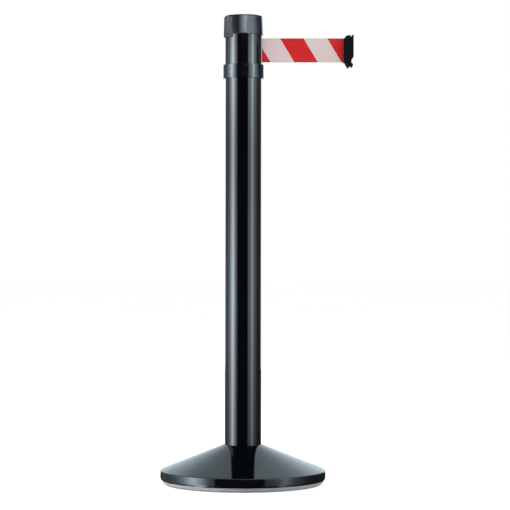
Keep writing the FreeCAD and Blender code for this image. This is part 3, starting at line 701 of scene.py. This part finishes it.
def receiver_pad(index, angle):
    """A flat-faced pad that leans out to its foot and hangs below the skirt, shaped to the sleeve behind."""
    out, across = radial(angle), radial(angle + math.pi / 2)
    half, face_low, face_high = 15.2 * MM, 40.9 * MM, 39.7 * MM
    low, high = CAP_LOW.z, 980 * MM
    crown = 0.9 * MM
    corner = 1.1 * MM
    back_r = SLEEVE_R + 0.15 * MM
    back_steps = 12
    bm = bmesh.new()
    rings = []
    for z, inset in edge_levels(low, high, 0.8 * MM):
        side = half - inset
        face = face_high + (face_low - face_high) * (high - z) / (high - low) - inset
        root = math.sqrt(back_r**2 - side**2)
        low_side = rounded([(root, -side, 0), (face - crown, -side, corner), (face, 0, 0)], closed=False)
        high_side = [Vector((p.x, -p.y)) for p in reversed(low_side[:-1])]
        flat = side - 1.2 * corner
        arc = [-flat + 2 * flat * i / back_steps for i in range(1, back_steps)]
        bulge = [Vector((face - crown * (y / side) ** 2, y)) for y in arc]
        plan = low_side[:-1] + bulge + high_side
        for i in range(1, back_steps):
            y = side - 2 * side * i / back_steps
            plan.append(Vector((min(math.sqrt(back_r**2 - y**2), face - crown - 0.1 * MM), y)))
        rings.append([out * p.x + across * p.y + UP * z for p in plan])
    capped(bm, rings)
    pad = finish_mesh(f"cap_receiver_{index}", bm, "post", "receiver_plastic")
    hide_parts("top_cap")
    return pad


PLAIN_HALF = math.asin(15.0 / 42.2)
PLAIN_FACE, PLAIN_CROWN = 42.2 * MM, 40.8 * MM
PLAIN_LOW, PLAIN_HIGH = SKIRT_FOOT + 0.2 * MM, 971 * MM
RECESS_R = 39.4 * MM


def arc_block(bm, angle, half, levels):
    """A block around the post's axis. Each level: height, inner and outer radius, and inset of the ends."""
    steps = 24
    turns = [angle - half + 2 * half * i / steps for i in range(steps + 1)]
    rings = []
    for z, inner, outer, inset in levels:
        ends = [inset / outer if i == 0 else -inset / outer if i == steps else 0.0 for i in range(steps + 1)]
        ring = [radial(a + e) * outer + UP * z for a, e in zip(turns, ends)]
        rings.append(ring + [radial(a) * inner + UP * z for a in reversed(turns)])
    capped(bm, rings)


def plain_pad(index, angle, shell):
    """A shallow round-faced pad, just proud of the shell, set in a recess with a fine gap down each side."""
    gap = 0.55 * MM / PLAIN_FACE
    bm = bmesh.new()
    levels = ((SKIRT_FOOT - 1 * MM, 0), (PLAIN_HIGH + 0.15 * MM, 0))
    arc_block(bm, angle, PLAIN_HALF + gap, [(z, RECESS_R, PLAIN_FACE + 1 * MM, inset) for z, inset in levels])
    carve(shell, f"pad_recess_{index}", bm)
    edge = 0.5 * MM
    lean = (PLAIN_FACE - PLAIN_CROWN) / (PLAIN_HIGH - PLAIN_LOW)
    levels = []
    for z, inset in (
        (PLAIN_LOW, 2.0 * edge),
        (PLAIN_LOW, edge),
        (PLAIN_LOW + edge, 0.0),
        (PLAIN_HIGH - edge, 0.0),
        (PLAIN_HIGH, edge),
        (PLAIN_HIGH, 2.0 * edge),
    ):
        levels.append((z, RECESS_R - 0.05 * MM, PLAIN_FACE - (z - PLAIN_LOW) * lean - inset, inset))
    bm = bmesh.new()
    arc_block(bm, angle, PLAIN_HALF, levels)
    pad = finish_mesh(f"cap_plain_pad_{index}", bm, "post", "head_plastic", sharp=32.0)
    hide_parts("top_cap")
    return pad


def screw_head(name, place, out, radius, deep, body, node):
    """A screw's end, facing out: bevelled rim, flat face and a hexagon recess."""
    side = out.cross(UP).normalized()
    count = 24

    def at(r, angle, depth):
        return place + (side * math.cos(angle) + UP * math.sin(angle)) * r - out * depth

    def recess_reach(angle):
        sector = (angle + math.pi / 6) % (math.pi / 3) - math.pi / 6
        return radius * 0.5 / math.cos(sector)

    angles = [2 * math.pi * i / count for i in range(count)]
    bm = bmesh.new()
    rings = [
        [at(radius, a, deep) for a in angles],
        [at(radius, a, 0.12 * radius) for a in angles],
        [at(radius * 0.88, a, 0.0) for a in angles],
        [at(recess_reach(a), a, 0.0) for a in angles],
        [at(recess_reach(a) * 0.9, a, 0.55 * radius) for a in angles],
    ]
    capped(bm, rings)
    head = finish_mesh(name, bm, body, "dark_screw", weighted=False)
    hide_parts(node)
    return head


def carve(piece, name, bm):
    """Cuts a closed bmesh out of a piece; the cutter itself isn't kept."""
    bmesh.ops.recalc_face_normals(bm, faces=bm.faces)
    mesh = bpy.data.meshes.new(name)
    bm.to_mesh(mesh)
    bm.free()
    cutter = bpy.data.objects.new(name, mesh)
    bpy.context.scene.collection.objects.link(cutter)
    cut = piece.modifiers.new(name, "BOOLEAN")
    cut.operation = "DIFFERENCE"
    cut.solver = "EXACT"
    cut.object = cutter
    bpy.context.view_layer.objects.active = piece
    piece.modifiers.move(len(piece.modifiers) - 1, 0)
    with bpy.context.temp_override(object=piece):
        bpy.ops.object.modifier_apply(modifier=name)
    bpy.data.objects.remove(cutter)
    mark_sharp(piece.data)


def capped(bm, rings):
    """Closes a stack of rings, lowest first, into one solid."""
    rows = loft(bm, rings, closed_profile=False)
    bm.faces.new(list(reversed(rows[0])))
    bm.faces.new(rows[-1])


def bored(piece, name, place, out, radius, deep):
    """A round hole, level with the floor, into a piece."""
    side = out.cross(UP).normalized()
    count = 32
    turns = [2 * math.pi * i / count for i in range(count)]
    bm = bmesh.new()
    ring = [place + (side * math.cos(a) + UP * math.sin(a)) * radius for a in turns]
    capped(bm, [[p - out * depth for p in ring] for depth in (-deep, deep)])
    carve(piece, name, bm)


def top_cap():
    shell = cap_shell()
    cap_disc()
    for i, angle in enumerate(RECEIVER_ANGLES, start=1):
        pad = receiver_pad(i, angle)
        out = radial(angle - SCREW_BACK)
        spot = out * PAD_FACE_AT_SCREW / math.cos(SCREW_BACK) + UP * PAD_SCREW_Z
        bored(pad, f"pad_drill_{i}", spot, out, PAD_HOLE_R, PAD_HOLE_DEEP)
        head = spot - out * PAD_SCREW_SUNK
        screw_head(f"cap_screw_{i}", head, out, PAD_SCREW_R, PAD_SCREW_LONG, "post", "cap_screws")
    for i, angle in enumerate(PLAIN_ANGLES, start=1):
        plain_pad(i, angle, shell)


# ---------------------------------------------------------------- belt

def belt():
    """The belt as one thin sheet, from the roll, around the guide pin and out to its loop in the clip."""
    half_thick = 0.4 * MM
    rows_up = 24
    long_step = 1.2 * MM
    bend = -(GUIDE_LOW.y + 1.2 * MM)
    centre = Vector(((GUIDE_LOW.x + GUIDE_HIGH.x) / 2, -bend))
    leave = ROLL_HIGH.x + 0.3 * MM + half_thick
    heading = math.asin((leave + bend) / centre.length) + math.atan2(centre.y, centre.x)
    normal = Vector((math.sin(heading), -math.cos(heading)))
    path = [normal * leave]
    first = centre - normal * bend
    steps = 10
    path += [path[0].lerp(first, i / steps) for i in range(1, steps)]
    start_angle = heading + math.pi / 2
    for i in range(ARC_STEPS + 1):
        angle = start_angle + (math.pi / 2 - start_angle) * i / ARC_STEPS
        path.append(centre + Vector((math.cos(angle), math.sin(angle))) * bend)
    pin_x = (PIN_LOW.x + PIN_HIGH.x) / 2
    loop_r = 2.0 * MM
    straight_end = pin_x - 3.4 * loop_r
    reach = straight_end - path[-1].x
    count = int(reach / long_step)
    x0 = path[-1].x
    path += [Vector((x0 + reach * i / count, 0)) for i in range(1, count + 1)]
    loop_steps = 16
    for i in range(loop_steps + 1):
        angle = math.pi * 0.75 - 1.5 * math.pi * i / loop_steps
        path.append(Vector((pin_x + loop_r * math.cos(angle), loop_r * math.sin(angle))))
    bm = bmesh.new()
    grid = []
    for p in path:
        column = []
        for k in range(rows_up + 1):
            z = BELT_LOW.z + BELT_WIDTH * k / rows_up
            column.append(bm.verts.new((p.x, p.y, z)))
        grid.append(column)
    for a, b in zip(grid, grid[1:]):
        for k in range(rows_up):
            bm.faces.new((a[k], b[k], b[k + 1], a[k + 1]))
    piece = finish_mesh("belt_cloth", bm, None, "belt_webbing", weighted=False)
    thick = piece.modifiers.new("cloth_thickness", "SOLIDIFY")
    thick.thickness = 2 * half_thick
    thick.offset = 0
    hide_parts("belt_web")
    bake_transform(piece)
    piece.visible_glossy = False
    return piece


# ---------------------------------------------------------------- clip

CLIP_CORNERS = [
    (3.0, 884.4, 0.6),
    (3.0, 937.1, 0.6),
    (4.8, 940.0, 0.8),
    (12.2, 942.2, 0.8),
    (14.2, 941.4, 0.6),
    (16.4, 937.4, 0.5),
    (19.6, 942.8, 0.6),
    (21.5, 942.2, 0.7),
    (21.5, 896.5, 0.8),
    (18.4, 893.6, 0.6),
    (16.8, 890.4, 0.8),
    (16.6, 883.6, 0.6),
    (19.8, 881.6, 0.6),
    (19.8, 877.6, 0.7),
    (18.0, 875.4, 0.6),
    (15.4, 878.4, 0.5),
    (12.4, 877.4, 0.4),
    (10.6, 874.4, 0.6),
    (8.4, 874.6, 1.0),
]


def clip_body():
    """The hooked clip: its side outline carried across its width, hollowed to cup a neighbour's head."""
    half = CLIP_HIGH.y
    cup_r = 38.9 * MM
    cup_x = LID_LOW.x + 17.4 * MM + cup_r
    outline = rounded([(LID_LOW.x + x * MM, z * MM, r * MM) for x, z, r in CLIP_CORNERS])
    dense = []
    for a, b in zip(outline, outline[1:] + outline[:1]):
        pieces = max(1, int((b - a).length / (2.5 * MM)))
        dense += [a.lerp(b, i / pieces) for i in range(pieces)]
    bevel = 1.0 * MM
    slices = []
    for step in range(ARC_STEPS + 1):
        turn = math.pi / 2 * step / ARC_STEPS
        slices.append((-half + bevel * (1 - math.sin(turn)), bevel * (1 - math.cos(turn))))
    spans = 16
    slices += [(-half + bevel + 2 * (half - bevel) * i / spans, 0.0) for i in range(1, spans)]
    slices += [(-y, inset) for y, inset in reversed(slices[: ARC_STEPS + 1])]
    middle = Vector(((CLIP_LOW.x + CLIP_HIGH.x) / 2, (CLIP_LOW.z + CLIP_HIGH.z) / 2))
    bm = bmesh.new()
    rings = []
    for y, inset in slices:
        limit = cup_x - math.sqrt(cup_r**2 - y**2)
        ring = []
        for p in dense:
            pull = (middle - p)
            shift = Vector([math.copysign(min(abs(part), inset), part) for part in pull])
            q = p + shift * 0.7
            ring.append(Vector((min(q.x, limit), y, q.y)))
        rings.append(ring)
    capped(bm, rings)
    piece = finish_mesh("clip_body_shell", bm, "belt_end", "clip_plastic", sharp=50.0)
    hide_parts("clip_body")
    return piece


# ---------------------------------------------------------------- everything else keeps its CAD shape

def paint_cad():
    for part in frame["record"]["subparts"]:
        paint(part["node"], part["material_slot"])


# ---------------------------------------------------------------- stage

FLOOR_GLOW = 0.67


def floor():
    """A pale flat floor, as white as the world behind it, which blocks no view."""
    reach = 30.0
    bm = bmesh.new()
    corners = ((-reach, -reach), (reach, -reach), (reach, reach), (-reach, reach))
    bm.faces.new([bm.verts.new((x, y, 0)) for x, y in corners])
    mesh = bpy.data.meshes.new("floor")
    bm.to_mesh(mesh)
    bm.free()
    sheet = bpy.data.objects.new("floor", mesh)
    bpy.context.scene.collection.objects.link(sheet)
    n = Nodes("floor_pale")
    tone = n.mix(n.noise(0.8, 3.0), (0.34, 0.34, 0.34, 1), (0.38, 0.38, 0.38, 1))
    n.set(Base_Color=tone, Roughness=0.9, Emission_Color=(1, 1, 1, 1), Emission_Strength=FLOOR_GLOW)
    mesh.materials.append(n.material)
    sheet.visible_glossy = False


def reflected_sheet(name, rows, tint):
    """A light sheet between two rows of points, seen only in reflections; returns its node tree."""
    bm = bmesh.new()
    near, far = [[bm.verts.new(point) for point in row] for row in rows]
    for a, b, c, d in zip(near, near[1:], far[1:], far):
        bm.faces.new((a, b, c, d))
    mesh = bpy.data.meshes.new(name)
    bm.to_mesh(mesh)
    bm.free()
    sheet = bpy.data.objects.new(name, mesh)
    bpy.context.scene.collection.objects.link(sheet)
    n = Nodes(name)
    n.set(Base_Color=(0, 0, 0, 1), Emission_Color=(*tint, 1), Specular_IOR_Level=0.0)
    mesh.materials.append(n.material)
    sheet.visible_camera = False
    sheet.visible_diffuse = False
    sheet.visible_shadow = False
    sheet.visible_transmission = False
    return n


def light_wall(name, low, high, around, upward, reach=1.8):
    """A curved light wall around the post. Its brightness is the product of two curves: around holds
    (degrees to the right of the front, level), and upward holds (height, level)."""
    start, end = around[0][0], around[-1][0]
    steps = max(2, int((end - start) / 3))
    turns = [math.radians(start + (end - start) * i / steps) for i in range(steps + 1)]
    rows = [[(reach * math.sin(a), -reach * math.cos(a), z) for a in turns] for z in (low, high)]
    n = reflected_sheet(name, rows, (0.78, 0.905, 1.0))
    across, deep, height = n.split(n.place)
    turn = n.math("DEGREES", n.math("ARCTAN2", across, n.math("MULTIPLY", deep, -1.0)))
    n.set(Emission_Strength=n.math("MULTIPLY", n.curve(turn, around), n.curve(height, upward)))


def back_wall():
    """The wall behind, which the cone reflects: brighter low down and to the right."""
    back, wide, low, high = 3.2, 2.6, 0.05, 5.2
    rows = [[(-wide, back, z), (wide, back, z)] for z in (low, high)]
    n = reflected_sheet("back_sheet", rows, (0.76, 0.91, 1.0))
    across, _, height = n.split(n.place)
    upward = [(low, 1.3), (1.2, 1.4), (1.8, 1.35), (2.4, 1.1), (3.2, 0.95), (high, 0.95)]
    sideways = [(-wide, 0.85), (-0.25, 0.88), (0.25, 1.05), (wide, 1.1)]
    n.set(Emission_Strength=n.math("MULTIPLY", n.curve(height, upward), n.curve(across, sideways)))


def top_wall():
    """The sheet overhead, which the cap's shoulder and the clip's top reflect."""
    half, front, back, over = 1.2, -1.6, 0.6, 2.7
    rows = [[(-half, y, over), (half, y, over)] for y in (front, back)]
    n = reflected_sheet("top_sheet", rows, (0.85, 0.95, 1.0))
    n.set(Emission_Strength=n.remap(n.noise(0.3, 2.0), 0.3, 0.7, 0.9, 1.1))


def area_light(name, place, target, size, power, spread=math.pi):
    data = bpy.data.lights.new(name, "AREA")
    data.spread = spread
    data.shape = "RECTANGLE"
    data.size, data.size_y = size
    data.energy = power
    lamp = bpy.data.objects.new(name, data)
    bpy.context.scene.collection.objects.link(lamp)
    lamp.location = place
    lamp.rotation_euler = (Vector(target) - Vector(place)).to_track_quat("-Z", "Y").to_euler()
    lamp.visible_glossy = False
    return lamp


def studio():
    low, split, top = -1.6, 1.18, 2.1
    left = [(-150, 0.15), (-140, 0.25), (-126, 0.3), (-112, 0.6), (-100, 1.2), (-90, 2.5), (-81, 5.0)]
    left += [(-73, 8.6), (-66, 8.8), (-58, 5.8), (-51, 3.0), (-45, 1.6), (-41, 1.1), (-37, 0.9)]
    left_up = [(low, 0.9), (-0.18, 0.95), (-0.04, 1.04), (0.35, 1.55), (0.8, 1.05), (1.08, 1.65)]
    left_up.append((split, 1.1))
    right = [(29, 1.5), (37, 1.9), (44, 2.3), (51, 3.4), (58, 6.7), (65, 4.2), (73, 1.9), (81, 1.5)]
    right += [(90, 0.8), (99, 0.38), (110, 0.15), (150, 0.12)]
    right_up = [(low, 0.4), (-0.18, 0.4), (-0.05, 0.6), (0.35, 1.1), (0.8, 1.0), (1.08, 1.75), (split, 1.2)]
    cap = [(-62, 0.1), (-40, 0.15), (-30, 0.5), (-22, 1.7), (-12, 4.2), (0, 8.0), (14, 11.0), (22, 8.0)]
    cap += [(31, 5.4), (49, 5.4), (63, 3.9), (78, 1.9), (94, 0.5), (114, 0.2), (140, 0.2)]
    receiver = [(-150, 0.1), (-132, 0.3), (-122, 1.3), (-113, 2.7), (-104, 1.7), (-92, 0.6), (-80, 0.3)]
    light_wall("left_wall", low, split, left, left_up)
    light_wall("right_wall", low, split, right, right_up)
    cap_up = [(split, 1.0), (1.46, 1.0), (1.6, 0.12), (top, 0.08)]
    light_wall("cap_wall", split + 0.04, top, cap, cap_up)
    light_wall("receiver_wall", split, top, receiver, [(split, 1.0), (top, 1.0)])
    back_wall()
    top_wall()
    aim = (0, 0, 0.5)
    area_light("key", (-1.1, -4.4, 2.4), aim, (1.8, 1.8), 35)
    area_light("fill", (1.3, -4.4, 1.8), aim, (1.8, 1.8), 35)
    area_light("low_left", (-3.9, -0.8, 0.35), (0, 0, 0.05), (1.2, 0.6), 7, math.radians(24))
    area_light("low_right", (3.9, -0.8, 0.35), (0, 0, 0.05), (1.2, 0.6), 3, math.radians(24))
    area_light("top", (0, 0.4, 3.6), (0, 0, 0.3), (2.5, 2.5), 30)
    world = bpy.data.worlds.new("studio")
    bpy.context.scene.world = world
    world.use_nodes = True
    tree = world.node_tree
    back = tree.nodes["Background"]
    back.inputs["Color"].default_value = (1, 1, 1, 1)
    back.inputs["Strength"].default_value = 1.01
    dark = tree.nodes.new("ShaderNodeBackground")
    dark.inputs["Color"].default_value = (0.9, 0.95, 1.0, 1)
    dark.inputs["Strength"].default_value = 0.012
    path = tree.nodes.new("ShaderNodeLightPath")
    mix = tree.nodes.new("ShaderNodeMixShader")
    tree.links.new(path.outputs["Is Glossy Ray"], mix.inputs["Fac"])
    tree.links.new(back.outputs[0], mix.inputs[1])
    tree.links.new(dark.outputs[0], mix.inputs[2])
    tree.links.new(mix.outputs[0], tree.nodes["World Output"].inputs["Surface"])
    bpy.context.scene.view_settings.view_transform = "Standard"


def camera():
    data = bpy.data.cameras.new("camera")
    data.sensor_width = 36
    data.lens = 141
    data.clip_end = 60
    eye = bpy.data.objects.new("camera", data)
    bpy.context.scene.collection.objects.link(eye)
    eye.location = (0.0247, -4.2, 0.4808)
    eye.rotation_euler = (math.pi / 2, -0.0015, 0)
    bpy.context.scene.camera = eye


camera()
paint_cad()
base_cover()
floor_ring()
post_tube()
collar_ring()
head_sleeve()
top_cap()
belt()
clip_body()
floor()
studio()
